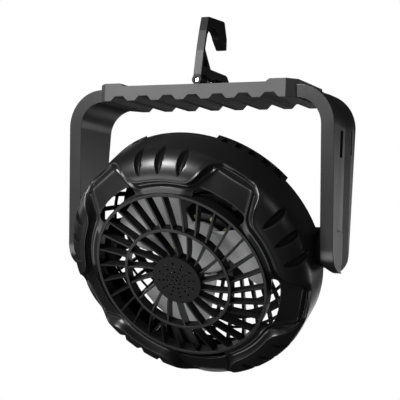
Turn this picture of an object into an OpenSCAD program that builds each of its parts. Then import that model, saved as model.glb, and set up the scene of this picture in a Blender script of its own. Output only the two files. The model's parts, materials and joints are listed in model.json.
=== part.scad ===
// Portable camping fan: a round head that tilts in a square handle, with a fold-up hook on the grip.
// Origin: centre of the grip's underside. X runs along the grip, the fan blows towards -Y, Z is up.
// Handle pieces are drawn in that frame. Head pieces are drawn in the head's own frame, where z is
// the fan's axis, z = 0 holds the tilt pivots, +z is the front and +y is the head's top.

/* [Head] */
// Angle that the head looks down when at rest
head_tilt = 31.5; // [0:0.5:45]
// Outer radius of the head's rim
rim_r = 95.8; // [94:0.1:97]
// Wall thickness of the front and rear mouldings
shell_wall = 2.6; // [2:0.1:3]
// Height of the joint line between front shell and rear basket
parting_z = 6; // [5:0.5:8]
// Height of the pads' crowns
pad_top = 47; // [46:0.5:48]
// Radius of the pads' rounded shoulders
pad_round = 20; // [18:0.5:21]
// Angle that each pad spans
pad_angle = 35.6; // [32.6:1:38.6]
// Height at which the windows' outer wall starts to slope
window_knee_z = 25; // [22:0.5:26]
// Distance of the window's outer edge inside the rim
window_inset = 6; // [5.5:0.1:8]
// Height of the window's outer edge
window_z = 34; // [33:0.5:35]
// Outer half-width of the window's frame
window_outer_half = 17.5; // [15:0.5:18]
// Inner half-width of the window's frame
window_inner_half = 23; // [21:0.5:23.5]
// Width of the window's raised frame
frame_w = 2; // [1.5:0.1:2.5]
// Height of the window's raised frame
frame_h = 1.8; // [1:0.1:2.5]
// Radial length of the air slot in each window
slot_len = 6.4; // [4:0.1:7]
// Number of dents in each pad
dents = 3; // [1:1:3]
// Angle between neighbouring dents
dent_pitch = 11; // [9:0.5:12]
// Depth of the dents
dent_depth = 1.5; // [0.8:0.1:1.6]
// Width of the dents
dent_w = 5.9; // [4:0.1:7]

/* [Front grille] */
// Distance of the grille's edge inside the rim
grille_inset = 27.4; // [27:0.1:29]
// Height of the outer ring
outer_ring_z = 47.2; // [46.5:0.1:48.5]
// Radius of the middle ring
mid_ring_r = 41.2; // [38:0.1:44]
// Height of the middle ring
mid_ring_z = 52.2; // [50:0.1:53]
// Outer radius of the hub cap
cap_r = 19.2; // [18:0.1:21]
// Height of the hub cap's face
cap_z = 52.9; // [52:0.1:54]
// Width of the rings
ring_w = 2.4; // [2:0.1:3]
// Thickness of the vanes
vane_t = 1.5; // [1.2:0.1:2]
// Depth of the vanes
vane_depth = 7; // [5:0.5:8]
// Number of outer vanes
outer_vanes = 30; // [24:1:34]
// Number of inner vanes
inner_vanes = 18; // [12:1:22]
// Diameter of the holes in the hub cap
cap_hole_d = 1.6; // [1.2:0.1:1.8]

/* [Rotor and motor] */
// Distance of the blades' tips inside the grille's edge
tip_inset = 6.4; // [5.4:0.1:12]
// Number of blades
blades = 3; // [2:1:4]
// Angle that each blade spans
blade_angle = 76; // [60:1:84]
// Thickness of the blades
blade_t = 1.8; // [1.4:0.1:2.4]
// Height of the blades' leading edges
blade_front_z = 25; // [20:0.5:28]
// Radius of the rotor's hub
hub_r = 23; // [22.5:0.1:23.5]
// Height of the hub's face
hub_z = 5; // [4.5:0.1:8]
// Radius of the motor shaft
shaft_r = 1.5; // [1.5:0.1:2]
// Outer radius of the bearings
bearing_r = 4; // [3.5:0.1:4.5]
// Width of each bearing
bearing_w = 3; // [2:0.5:4]
// Outer radius of the motor housing
housing_r = 28.4; // [28:0.1:29]
// Gap between stator and magnet ring
air_gap = 0.35; // [0.3:0.05:0.5]
// Number of lights in the ring
lights = 12; // [8:1:14]
// Radius of the ring of lights
light_ring_r = 25; // [24.5:0.1:25.5]

/* [Rear and battery] */
// Depth of the rear basket's dome
dome_depth = 37.75; // [36:0.25:40]
// Pockets between the rim's teeth, behind each of three windows
rim_pockets = 5; // [3:1:5]
// Width of the teeth between the rim's pockets
rim_tooth_w = 3.7; // [2.5:0.1:5]
// Number of ribs in the rear basket
ribs = 40; // [30:5:60]
// Thickness of the ribs
rib_t = 2.4; // [1.6:0.1:2.8]
// Depth of the ribs and hoops
rib_depth = 3; // [2.4:0.1:4]
// Spacing of the hoops along the dome
hoop_pitch = 10; // [8:0.5:14]
// Which hoop, counted from the rim, is the wide one
wide_hoop = 3; // [1:1:5]
// Width of the wide hoop along the dome
wide_hoop_w = 6.4; // [3:0.1:8]
// Gap between the control board's corners and the battery case's wall
board_room = 1.45; // [1:0.05:2]
// Height of the battery case's front face
case_front_z = -22; // [-23:0.5:-20]
// Length of the battery case
case_len = 28; // [28:0.5:32]
// Wall thickness of the battery case
case_wall = 2.4; // [2:0.1:2.6]
// Thickness of the rear cover
cover_t = 2.5; // [2:0.1:3]
// Diameter of a battery cell
cell_d = 18; // [17:0.1:18.2]
// Length of a battery cell
cell_len = 65; // [60:0.5:66]
// Gap between the two cells
cell_gap = 1.2; // [1:0.1:2]
// Thickness of the circuit boards
board_t = 1.6; // [1:0.1:2]
// Diameter of the buttons
button_d = 9; // [8:0.1:9.5]
// Distance that a button travels
button_travel = 1.2; // [0.8:0.1:1.4]
// Height of the buttons above the rear cover
button_proud = 1.8; // [1.5:0.1:2.5]
// Distance of each button from the middle plane
button_x = 14; // [13:0.5:15]
// Distance of the buttons above the axis
button_y = 28.5; // [27.5:0.5:29]

/* [Handle] */
// Gap between the head's rim and a handle leg
side_gap = 4.2; // [3.8:0.1:5]
// Thickness of the handle
bail_t = 10; // [9:0.5:12]
// Depth of the legs at the pivot
leg_depth = 35.7; // [34:0.1:38]
// Depth of the legs level with the grip's underside
bar_depth = 50.7; // [48:0.1:52]
// Outer corner radius of the handle
corner_r = 29; // [26:0.5:32]
// Clearance between the head's swing and the grip
swing_gap = 7.5; // [5:0.5:15]
// Thickness of the bar inside the grip
bar_t = 5; // [4:0.1:6]
// Depth of the groove in each leg
groove_depth = 2.5; // [1.5:0.1:3]
// Radius of the pivot bosses
boss_r = 13; // [12:0.1:13.5]
// Radius of the pivot bolts
bolt_r = 4; // [3:0.1:4.5]
// Width of the side recesses
recess_w = 9.7; // [8:0.1:11]
// Height of the side recesses
recess_h = 19.5; // [14:0.5:22]
// Depth of the side recesses
recess_deep = 4; // [2:0.5:5]

/* [Grip] */
// Half-length of the grip
grip_half = 82; // [80:0.5:83]
// Depth of the grip, front to back
grip_depth = 64.3; // [60:0.1:68]
// Height of the grip between its raised ends
grip_h = 11.5; // [11:0.1:13]
// Extra height of the grip's raised ends
grip_end_rise = 2.2; // [1:0.1:3]
// Length of each raised end
grip_end_len = 20; // [16:0.5:20]
// Number of finger grooves
grooves = 7; // [5:1:7]
// Spacing of the finger grooves
groove_pitch = 20.8; // [19:0.1:21]
// Depth of the finger grooves
groove_h = 3.6; // [2:0.1:3.8]
// Width of a finger groove at its mouth
groove_mouth = 14.3; // [12:0.1:16]
// Width of a finger groove at its top
groove_top = 7.2; // [5:0.1:9]

/* [Hook] */
// Thickness of the hook
hook_t = 6.5; // [5:0.1:7]
// Height of the hook's top above the grip's underside
hook_top = 67.1; // [66:0.1:70]
// Height of the hook's pins above the grip's top
pin_rise = 4.5; // [4.4:0.1:6]
// Radius of the hook's knuckles
knuckle_r = 3.9; // [3.6:0.1:4]
// Radius of the hook's pins
pin_r = 1.6; // [1.2:0.1:2]

/* [Fits] */
// Radial clearance of pins and shafts that turn
running = 0.06; // [0.04:0.01:0.1]
// Clearance between pieces that are assembled and stay put
fit_gap = 0.1; // [0.05:0.01:0.2]
// Gap beside a moving piece
side_play = 0.25; // [0.2:0.01:0.4]

/* [Hidden] */
$fn = 96;

// Colours
black = [0.13, 0.13, 0.135];
soft_black = [0.2, 0.2, 0.205];
grey = [0.55, 0.55, 0.56];
steel = [0.72, 0.73, 0.75];
copper = [0.75, 0.4, 0.22];
board_green = [0.1, 0.32, 0.2];
light_yellow = [0.93, 0.93, 0.7];
cell_blue = [0.2, 0.35, 0.6];

// Length by which a cut runs past a face
over = 1;

// Screws used throughout
screw_r = 1.25;
screw_head_r = 2.3;
screw_head_t = 1.8;
screw_bite = 4.5;

// Sizes that follow the rim
grille_r = rim_r - grille_inset;
window_r = rim_r - window_inset;
blade_r = grille_r - tip_inset;

// Head: the pads' profile swings inside the handle
sides = 5;
sector = 360 / sides;
first_pad = 90;
pad_arc_r = rim_r - pad_round;
pad_arc_z = pad_top - pad_round;
wall_in_r = rim_r - shell_wall;
band_in_r = grille_r + fit_gap;
band_in_z = outer_ring_z - 1.2;
band_out_z = pad_top - 3.5;
band_low_z = band_out_z - 2.5;
swing_r = sqrt(pad_arc_r * pad_arc_r + pad_arc_z * pad_arc_z) + pad_round;
pivot_drop = swing_r + swing_gap;
leg_in_x = rim_r + side_gap;
leg_out_x = leg_in_x + bail_t;

// Windows
panel_slope = 24;
window_corner = 5;
window_in_y = grille_r + 2.3;
window_out_y = window_r - 0.5;
panel_drop = 1.5;

// Grille
tab_t = 2.5;
tab_len = 7;
outer_ring_low = band_low_z - tab_t;
mid_ring_low = mid_ring_z - 7.5;
hub_ring_r = cap_r - 0.6;
cap_t = 1.7;
hub_ring_low = cap_z - 9.5;
outer_sweep = 7.5;
inner_sweep = 13;
outer_start = 6;
inner_start = 7;
hole_rings = 4;
hole_pitch = 3.5;
grille_screw_at = grille_r + 3.4;

// Motor stack, front to back
hub_t = 1.8;
skirt_out_r = housing_r - 8.6;
skirt_t = 1.4;
magnet_t = 2.2;
magnet_in_r = skirt_out_r - skirt_t - magnet_t;
stator_r = magnet_in_r - air_gap;
tube_r = bearing_r + 1.2;
motor_base_z = -14;
motor_base_t = 2;
tube_top_z = 1;
skirt_low_z = motor_base_z + 3;
stator_low_z = motor_base_z + 4.5;
stator_len = 8;
teeth = 9;
core_r = tube_r + 2.8;
stator_rim = 2.4;
coil_wrap = 1.2;
coil_gap = 0.2;
magnet_over = 0.5;
housing_wall = 2;
flange_r = housing_r + 6;
flange_t = 2.4;
led_board_top = 0;
led_board_in_r = skirt_out_r + 1.4;
motor_screw_at = housing_r + 3;
motor_screws_n = 4;
bearing_low_z = motor_base_z - motor_base_t + 0.2;
bearing_high_z = tube_top_z - bearing_w - 0.3;
shaft_low_z = bearing_low_z - side_play - 1;
tooth_w = 2.2;
first_blade = -3;
wire_y = led_board_in_r + 1.6;
wire_pitch = 2;

// The battery case holds two cells, with the control board above them
cell_y = (cell_d + cell_gap) / 2;
board_half = 18;
board_h = 16.2;
board_low_y = cell_y + cell_d / 2 + 2.2;
board_high_y = board_low_y + board_h;
case_in_r = norm([board_half, board_high_y]) + board_room;
case_r = case_in_r + case_wall;

// Rear basket: a dome that starts under the rim
rim_low_z = parting_z - 4.1;
rim_tail_z = parting_z - 9;
rim_tail_r = rim_r - 3.4;
pocket_pitch = 6.5;
ring_out_r = case_r + 5.5;
dome_rise = (rim_r * rim_r - ring_out_r * ring_out_r - dome_depth * dome_depth) / (2 * dome_depth);
dome_r = sqrt(dome_rise * dome_rise + rim_r * rim_r);
dome_z = rim_low_z + dome_rise;
ring_t = 4;
case_flange_t = 2.6;
ring_low_z = rim_low_z - dome_depth - 2.5;
case_rear_z = case_front_z - case_len;
cover_rear_z = case_rear_z - cover_t;
shell_screw_at = wall_in_r - 5.5;
case_screw_at = case_r + 2.8;
lug_t = 3;

// Battery
cell_z = case_front_z - case_wall - 3.6 - cell_d / 2;
cradle_x = 20;
cradle_t = 2.4;
contact_t = 0.6;
contact_h = 14;
contact_over = 4;
spring_len = 1.8;
spring_r = 4.6;
spring_wire = 0.6;
holder_x = cell_len / 2 + 0.2 + spring_len + contact_t;

// Board, buttons and socket in the upper part of the case
board_z = case_rear_z + 7;
post_inset = 2.5;
post_ys = [board_low_y + post_inset, board_high_y - post_inset];
post_x = 8.2;
switch_w = 6.2;
switch_h = 3.4;
plunger_r = 1.75;
button_flange = 1.2;
usb_w = 9;
usb_h = 3.3;
usb_y = button_y + 3.5;
flap_w = 13;
flap_h = 7.6;
flap_t = 1.4;
flap_pin_r = 0.6;
flap_pin_y = usb_y + flap_h / 2 + 0.9;
flap_pin_z = cover_rear_z - 1.3;
flap_ear_r = 1.3;
cover_screw_at = case_in_r - 2.4;

// Pivot
friction_t = side_gap - 2.9;
boss_end_x = leg_in_x - friction_t - 0.15;
boss_start_x = rim_r - 18;
housing_out_r = boss_r + 2.7;
counter_r = bolt_r + 3.6;
counter_x = boss_start_x + 6.5;
nut_t = 4;
washer_t = 1;
nut_x = counter_x - 0.2 - washer_t - nut_t;
bolt_head_t = 3;
bolt_seat_x = leg_out_x - groove_depth - bolt_head_t - 0.6;
cap_disc_t = 0.9;

// Handle and grip, in the part's frame
bar_top = grip_h - 2;
bar_low = bar_top - bar_t;
bail_top = bar_top + 0.5;
bail_low = bail_top - bail_t + 0.5;
slim_half = grip_half - 1;
taper = (bar_depth - leg_depth) / 2 / pivot_drop;
corner_x = leg_out_x - corner_r;
corner_z = bail_top - corner_r;
groove_front_y = -9.6;
groove_back_y = 15.6;
groove_floor_y = 7.5;
groove_end_r = leg_depth / 2 + 0.8;
recess_y = -1.8;
recess_z = -31.3;
grip_bevel = 7;
ramp = 3;
grip_half_y = grip_depth / 2;
tunnel_y = bar_depth / 2 + taper * grip_h + fit_gap;
grip_screw_x = [-70, -24, 24, 70];
grip_screw_seat = grip_half_y - 3;
bracket_half_x = 9;
bracket_y0 = -24;
bracket_y1 = 16;
bracket_screw_y = [-10.5, -3.5];
bracket_seat_z = bar_top + 1.1;

// Hook, drawn in its own plane: first number is y, second is z
pin_z = grip_h + pin_rise;
foot_front = -25.3;
foot_gap_y0 = -14;
foot_gap_y1 = 1;
foot_rear = 26.5;
lug_a = [-21.2, -15.8];
lug_b = [2.3, 13];
saddle_z = hook_top - 9;
tip_z = hook_top - 22.4;

// Points of an arc, from angle a to angle b in n steps
function arc(cx, cy, r, a, b, n) =
    [for (i = [0:n]) let (t = a + (b - a) * i / n) [cx + r * cos(t), cy + r * sin(t)]];

module in_head() {
    translate([0, 0, -pivot_drop]) rotate([90 + head_tilt, 0, 0]) children();
}

module both_sides() {
    children();
    mirror([1, 0, 0]) children();
}

module around(n, start = 0) {
    for (i = [0:n - 1]) rotate([0, 0, start + i * 360 / n]) children();
}

// A cylinder along X from x0 to x1
module x_rod(r, x0, x1) {
    translate([x0, 0, 0]) rotate([0, 90, 0]) cylinder(r = r, h = x1 - x0);
}

// A cylinder along Y from y0 to y1
module y_rod(r, y0, y1) {
    translate([0, y0, 0]) rotate([-90, 0, 0]) cylinder(r = r, h = y1 - y0);
}

// A ring about z between two radii and two heights
module ring(r0, r1, z0, z1) {
    translate([0, 0, z0]) difference() {
        cylinder(r = r1, h = z1 - z0);
        translate([0, 0, -over]) cylinder(r = r0, h = z1 - z0 + 2 * over);
    }
}

// A block from one corner to the other
module block(a, b) {
    translate(a) cube(b - a);
}

// A screw whose head sits below z = 0 and whose shank points up
module screw(r, len, head_r, head_t) {
    cylinder(r = r, h = len);
    translate([0, 0, -head_t]) difference() {
        cylinder(r = head_r, h = head_t);
        block([-head_r * 0.6, -0.35, -over], [head_r * 0.6, 0.35, head_t * 0.4]);
        block([-0.35, -head_r * 0.6, -over], [0.35, head_r * 0.6, head_t * 0.4]);
    }
}

// ---------- Handle ----------

// Front outline of an arch that is open at the bottom
module arch(half, top, r, low) {
    translate([-half, low]) square([2 * half, top - r - low]);
    translate([-(half - r), low]) square([2 * (half - r), top - low]);
    for (s = [-1, 1]) translate([s * (half - r), top - r]) circle(r = r);
}

module leg_side_outline() {
    low = leg_depth / 2;
    high = bar_depth / 2;
    polygon([[-low, 0], [low, 0], [high, pivot_drop], [high + taper * 20, pivot_drop + 20],
        [-high - taper * 20, pivot_drop + 20], [-high, pivot_drop]]);
    circle(r = low);
}

// Groove along the outer face of the right leg, seen from above
module groove_outline() {
    polygon([[leg_out_x - groove_depth, groove_front_y], [leg_out_x - groove_depth, groove_floor_y],
        [leg_out_x + 0.01, groove_back_y], [leg_out_x + over, groove_back_y],
        [leg_out_x + over, groove_front_y]]);
}

module leg_groove() {
    intersection() {
        translate([0, 0, -pivot_drop - leg_depth]) linear_extrude(leg_depth + pivot_drop + corner_z)
            groove_outline();
        union() {
            block([0, groove_front_y - over, -pivot_drop], [leg_out_x + 2 * over, bar_depth, over]);
            translate([0, groove_front_y + groove_end_r, -pivot_drop])
                x_rod(groove_end_r, 0, leg_out_x + 2 * over);
        }
    }
    translate([corner_x, 0, corner_z]) rotate([90, 0, 0])
        rotate_extrude(angle = 90) translate([-corner_x, 0]) mirror([0, 1]) groove_outline();
}

module side_recess() {
    floor_x = leg_out_x - groove_depth - recess_deep;
    block([floor_x, recess_y - recess_w / 2, recess_z - recess_h / 2],
        [leg_out_x + over, recess_y + recess_w / 2, recess_z + recess_h / 2]);
    block([floor_x, groove_back_y - 1, recess_z - recess_h / 2 + 3],
        [leg_out_x + over, groove_back_y + 1, recess_z + recess_h / 2 + 1]);
}

module handle_bail() {
    chamfer = 4.7;
    color(black) difference() {
        intersection() {
            translate([0, bar_depth, 0]) rotate([90, 0, 0]) linear_extrude(2 * bar_depth) difference() {
                arch(leg_out_x, bail_top, corner_r, -pivot_drop - leg_depth);
                arch(leg_in_x, bail_low, corner_r - bail_t + 0.5, -pivot_drop - leg_depth - over);
                for (s = [-1, 1]) translate([s * (leg_in_x + 1), -pivot_drop - leg_depth / 2])
                    rotate(45) square(chamfer * sqrt(2), center = true);
            }
            translate([-leg_out_x - over, 0, -pivot_drop]) rotate([90, 0, 90])
                linear_extrude(2 * (leg_out_x + over)) leg_side_outline();
        }
        block([-slim_half, -bar_depth, bar_top], [slim_half, bar_depth, grip_h]);
        block([-slim_half, -bar_depth, -over], [slim_half, bar_depth, bar_low]);
        both_sides() {
            leg_groove();
            side_recess();
            translate([0, 0, -pivot_drop]) {
                x_rod(bolt_r + fit_gap, leg_in_x - over, leg_out_x + over);
                x_rod(bolt_r + 3.2, bolt_seat_x, leg_out_x + over);
            }
        }
        for (y = bracket_screw_y) translate([0, y, bar_low - over])
            cylinder(r = screw_r + fit_gap / 2, h = bar_t + 2 * over);
        at_grip_screws() y_rod(screw_r + fit_gap, -bar_depth, bar_depth);
    }
}

// ---------- Grip ----------

module grip_outline() {
    polygon([[-grip_half, 0], [-grip_half, grip_h + grip_end_rise],
        [-grip_half + grip_end_len, grip_h + grip_end_rise], [-grip_half + grip_end_len + ramp, grip_h],
        [grip_half - grip_end_len - ramp, grip_h], [grip_half - grip_end_len, grip_h + grip_end_rise],
        [grip_half, grip_h + grip_end_rise], [grip_half, 0]]);
}

module finger_groove() {
    polygon([[-groove_mouth / 2 - 0.5, -0.5], [-groove_top / 2, groove_h],
        [groove_top / 2, groove_h], [groove_mouth / 2 + 0.5, -0.5]]);
}

module grip_block() {
    b = grip_bevel;
    difference() {
        intersection() {
            translate([0, grip_half_y, 0]) rotate([90, 0, 0]) linear_extrude(grip_depth) difference() {
                grip_outline();
                for (i = [0:grooves - 1]) translate([(i - (grooves - 1) / 2) * groove_pitch, 0])
                    finger_groove();
            }
            linear_extrude(4 * grip_h, center = true) polygon([[-grip_half, -grip_half_y + b],
                [-grip_half + b, -grip_half_y], [grip_half - b, -grip_half_y],
                [grip_half, -grip_half_y + b], [grip_half, grip_half_y - b],
                [grip_half - b, grip_half_y], [-grip_half + b, grip_half_y],
                [-grip_half, grip_half_y - b]]);
        }
        bar_tunnel();
        block([-bracket_half_x - fit_gap, bracket_y0 - fit_gap, bar_low],
            [bracket_half_x + fit_gap, bracket_y1 + fit_gap, grip_h + over]);
    }
}

module bar_tunnel() {
    y = tunnel_y;
    block([-grip_half - over, -y, bar_low - fit_gap], [grip_half + over, y, bar_top + fit_gap]);
    both_sides() block([slim_half - fit_gap, -y, bail_low - fit_gap],
        [grip_half + over, y, bail_top + fit_gap]);
}

// Long screws run from the rear face through the bar into the front half
module at_grip_screws() {
    for (x = grip_screw_x) translate([x, 0, (bar_low + bar_top) / 2]) children();
}

module grip_screw_holes() {
    at_grip_screws() {
        y_rod(screw_r + fit_gap, -tunnel_y - screw_bite, grip_half_y + over);
        y_rod(screw_head_r + side_play, grip_screw_seat, grip_half_y + over);
    }
}

module grip_front() {
    color(soft_black) difference() {
        intersection() {
            grip_block();
            block([-grip_half - over, -grip_depth, -over], [grip_half + over, -fit_gap / 2, 4 * grip_h]);
        }
        grip_screw_holes();
    }
}

module grip_rear() {
    color(soft_black) difference() {
        intersection() {
            grip_block();
            block([-grip_half - over, fit_gap / 2, -over], [grip_half + over, grip_depth, 4 * grip_h]);
        }
        grip_screw_holes();
    }
}

module grip_screws() {
    color(steel) at_grip_screws() translate([0, grip_screw_seat, 0]) rotate([90, 0, 0])
        screw(screw_r, grip_screw_seat + tunnel_y + screw_bite - 0.4, screw_head_r, screw_head_t);
}

// ---------- Hook ----------

module lug(y0, y1) {
    translate([0, 0, pin_z]) y_rod(knuckle_r, y0, y1);
    block([-knuckle_r, y0, bar_top + fit_gap], [knuckle_r, y1, pin_z]);
}

module hook_bracket() {
    color(black) difference() {
        union() {
            block([-bracket_half_x, bracket_y0, bar_top + fit_gap], [bracket_half_x, bracket_y1, grip_h]);
            lug(lug_a[0] + side_play, lug_a[1] - side_play);
            lug(lug_b[0] + side_play, lug_b[1] - side_play);
        }
        translate([0, 0, pin_z]) y_rod(pin_r + fit_gap / 2, 2 * bracket_y0, 2 * bracket_y1);
        for (y = bracket_screw_y) translate([0, y, 0]) {
            cylinder(r = screw_r + fit_gap, h = grip_h + over);
            translate([0, 0, bracket_seat_z]) cylinder(r = screw_head_r + fit_gap, h = grip_h);
        }
    }
}

module bracket_screws() {
    color(steel) for (y = bracket_screw_y) translate([0, y, bracket_seat_z]) rotate([180, 0, 0])
        screw(screw_r, bracket_seat_z - bar_low - 0.6, screw_head_r, 1.1);
}

module hook_pins() {
    color(steel) translate([0, 0, pin_z]) {
        y_rod(pin_r, foot_front + 0.8, foot_gap_y0 - 0.4);
        y_rod(pin_r, foot_gap_y1 + 0.4, foot_rear - 0.8);
    }
}

module hook_outline() {
    difference() {
        polygon(concat([[foot_front, pin_z - 2.2], [-21.3, 38.7], [-17.7, hook_top - 12.4],
            [-14.5, hook_top - 1.5], [12.6, hook_top], [14.6, hook_top - 1], [19.5, hook_top - 13.1],
            [19.6, tip_z + 0.8], [14.3, tip_z]],
            arc(-4.9, saddle_z - 13, 13, 30, 150, 12),
            [[-19, 40], [-7.8, pin_z + 10], [20, pin_z + 9.8], [22.6, pin_z + 9.2],
            [foot_rear, pin_z + 5.9], [foot_rear, pin_z]]));
        polygon([[-19.2, 35.3], [-20.9, pin_z + 10], [-13.5, pin_z + 11.4]]);
        translate([foot_gap_y0, 0]) square([foot_gap_y1 - foot_gap_y0, pin_z + 3]);
    }
}

module hook() {
    color(black) difference() {
        union() {
            translate([-hook_t / 2, 0, 0]) rotate([90, 0, 90]) linear_extrude(hook_t) hook_outline();
            translate([0, 0, pin_z]) {
                y_rod(knuckle_r, foot_front, foot_gap_y0);
                y_rod(knuckle_r, foot_gap_y1, foot_rear);
            }
        }
        translate([0, 0, pin_z]) y_rod(pin_r + running, foot_front - over, foot_rear + over);
        for (l = [lug_a, lug_b])
            block([-knuckle_r - over, l[0], 0], [knuckle_r + over, l[1], pin_z + knuckle_r + side_play]);
    }
}

module pivot_bolts() {
    color(steel) both_sides() translate([0, 0, -pivot_drop]) {
        x_rod(bolt_r, boss_start_x + 0.6, bolt_seat_x);
        difference() {
            x_rod(bolt_r + 2.6, bolt_seat_x, bolt_seat_x + bolt_head_t);
            translate([bolt_seat_x + 1.2, 0, 0]) rotate([0, 90, 0])
                cylinder(r = 2.6, h = bolt_head_t, $fn = 6);
        }
    }
}

module pivot_nuts() {
    color(steel) both_sides() translate([nut_x, 0, -pivot_drop]) rotate([0, 90, 0]) difference() {
        cylinder(r = bolt_r + 3.2, h = nut_t, $fn = 6);
        translate([0, 0, -over]) cylinder(r = bolt_r + fit_gap / 2, h = nut_t + 2 * over);
    }
}

module pivot_washers() {
    color(steel) both_sides() translate([0, 0, -pivot_drop]) difference() {
        x_rod(bolt_r + 3.2, nut_x + nut_t, nut_x + nut_t + washer_t);
        x_rod(bolt_r + fit_gap / 2, nut_x, nut_x + nut_t + 2 * washer_t);
    }
}

module friction_washers() {
    color(soft_black) both_sides() translate([0, 0, -pivot_drop]) difference() {
        x_rod(boss_r - 1.5, leg_in_x - friction_t, leg_in_x);
        x_rod(bolt_r + fit_gap, leg_in_x - friction_t - over, leg_in_x + over);
    }
}

module pivot_caps() {
    floor_x = leg_out_x - groove_depth;
    color(black) both_sides() translate([0, 0, -pivot_drop]) intersection() {
        x_rod(boss_r + 0.3, floor_x, floor_x + cap_disc_t);
        block([floor_x - over, groove_front_y + fit_gap, -2 * boss_r],
            [floor_x + 2 * over, groove_floor_y, 2 * boss_r]);
        union() {
            block([floor_x - over, groove_front_y, 0], [floor_x + 2 * over, groove_floor_y, 2 * boss_r]);
            translate([0, groove_front_y + groove_end_r, 0])
                x_rod(groove_end_r - fit_gap, floor_x - over, floor_x + 2 * over);
        }
    }
}

// ---------- Head mouldings ----------

// Turns a section through an angle that is centred on +x
module turned(a) {
    rotate([0, 0, -a / 2]) rotate_extrude(angle = a) children();
}

module at_pads() {
    around(sides, first_pad) children();
}

module at_windows() {
    around(sides, first_pad + sector / 2) children();
}

function pad_outer() = concat([[rim_r, parting_z]], arc(pad_arc_r, pad_arc_z, pad_round, 0, 90, 10),
    [[pad_arc_r, band_out_z], [band_in_r, band_in_z]]);

function pad_inner() = let (r = pad_round - shell_wall)
    concat([[band_in_r, band_low_z], [pad_arc_r + shell_wall, band_low_z]],
        arc(pad_arc_r, pad_arc_z, r, acos(shell_wall / r), 0, 8), [[wall_in_r, parting_z]]);

module dent() {
    mid = 31;
    half = 37;
    chord = pad_round * sin(half);
    sag = pad_round * (1 - cos(half)) - dent_depth;
    floor_r = (chord * chord + sag * sag) / (2 * sag);
    ball_r = (dent_w * dent_w / 4 + dent_depth * dent_depth) / (2 * dent_depth);
    span = 2.3 * asin(chord / floor_r);
    back = pad_round - dent_depth - floor_r;
    translate([pad_arc_r + back * cos(mid), 0, pad_arc_z + back * sin(mid)]) rotate([90, 0, 0])
        rotate([0, 0, mid]) turned(span) translate([floor_r + ball_r, 0]) circle(r = ball_r, $fn = 32);
}

module pad() {
    end_angle = 1.6;
    screw_boss_top = pad_arc_z + 10;
    difference() {
        union() {
            difference() {
                turned(pad_angle) polygon(concat(pad_outer(), [[band_in_r, band_low_z],
                    [wall_in_r - 4, parting_z]]));
                turned(pad_angle - 2 * end_angle) polygon(concat(pad_inner(), [[wall_in_r, 0], [0, 0],
                    [0, band_low_z]]));
            }
            translate([shell_screw_at, 0, parting_z]) cylinder(r = 3.4, h = screw_boss_top - parting_z);
            block([shell_screw_at, -1, parting_z], [wall_in_r + 0.5, 1, screw_boss_top - 4]);
        }
        for (i = [0:dents - 1]) rotate([0, 0, (i - (dents - 1) / 2) * dent_pitch]) dent();
        translate([shell_screw_at, 0, parting_z - over]) cylinder(r = screw_r + fit_gap / 2, h = 14);
        translate([grille_screw_at, 0, band_low_z - over]) cylinder(r = screw_r + fit_gap / 2, h = over + 3);
    }
}

// The windows' panels slope down from the grille to the rim
module on_panel() {
    translate([window_r, 0, window_z]) rotate([0, panel_slope, 0]) translate([-window_r, 0, 0]) children();
}

// Outline of a window, moved inwards by d
module window_outline(d) {
    lean = atan2(window_inner_half - window_outer_half, window_out_y - window_in_y);
    cx = window_out_y - window_corner;
    cy = window_inner_half - (window_corner + (cx - window_in_y) * sin(lean)) / cos(lean);
    y = window_inner_half - d / cos(lean);
    polygon(concat([[window_in_y, y]], arc(cx, cy, window_corner - d, 90 - lean, 0, 6),
        arc(cx, -cy, window_corner - d, 0, lean - 90, 6), [[window_in_y, -y]]));
}

module window_slot() {
    r = 4;
    half = window_inner_half - 3;
    x = grille_r + slot_len;
    translate([x - 2 * r - 10, -half]) square([r + 10, 2 * half]);
    translate([x - 2 * r - 10, -half + r]) square([2 * r + 10, 2 * half - 2 * r]);
    for (s = [-1, 1]) translate([x - r, s * (half - r)]) circle(r = r);
}

module window() {
    t = shell_wall + panel_drop;
    out_r = rim_r - 0.1;
    in_r = wall_in_r + 0.1;
    low = parting_z + fit_gap;
    rise = (window_r - band_in_r) * tan(panel_slope);
    difference() {
        union() {
            turned(sector - pad_angle + 1.4) polygon([[out_r, low], [out_r, window_knee_z],
                [window_r, window_z], [band_in_r, window_z + rise], [band_in_r, window_z + rise - t],
                [window_r - 1.5, window_z - t + 0.6], [in_r, window_knee_z - 1.5], [in_r, low]]);
            on_panel() translate([0, 0, -t]) linear_extrude(t + frame_h) difference() {
                window_outline(0);
                window_outline(frame_w);
            }
        }
        on_panel() translate([0, 0, -panel_drop]) linear_extrude(2 * t) window_outline(frame_w);
        on_panel() translate([0, 0, -2 * t]) linear_extrude(4 * t) window_slot();
    }
}

// Half of the housing that holds a pivot boss; the other half is in the other moulding
module pivot_housing() {
    both_sides() x_rod(housing_out_r, boss_start_x, rim_r - 2);
}

module pivot_bore() {
    both_sides() {
        x_rod(boss_r + fit_gap, boss_start_x - over, leg_in_x);
        x_rod(boss_r + 1.3, boss_start_x + 2.9, boss_start_x + 6.1);
    }
}

module front_shell() {
    color(black) in_head() difference() {
        union() {
            at_pads() pad();
            at_windows() window();
            intersection() {
                pivot_housing();
                block([-rim_r, -rim_r, parting_z + fit_gap], [rim_r, rim_r, 2 * boss_r]);
            }
        }
        pivot_bore();
    }
}

// ---------- Grille ----------

// A curved strip from radius r0 to r1, swept back by an angle at r0
module vane(r0, r1, sweep) {
    n = 5;
    mid = [for (i = [0:n]) let (t = i / n, a = -sweep * (1 - t) * (1 - t) * 0.4 - sweep * (1 - t) * 0.6)
        (r0 + (r1 - r0) * t) * [cos(a), sin(a)]];
    polygon(concat([for (p = mid) p + [0, vane_t / 2]],
        [for (i = [n:-1:0]) mid[i] - [0, vane_t / 2]]));
}

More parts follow.
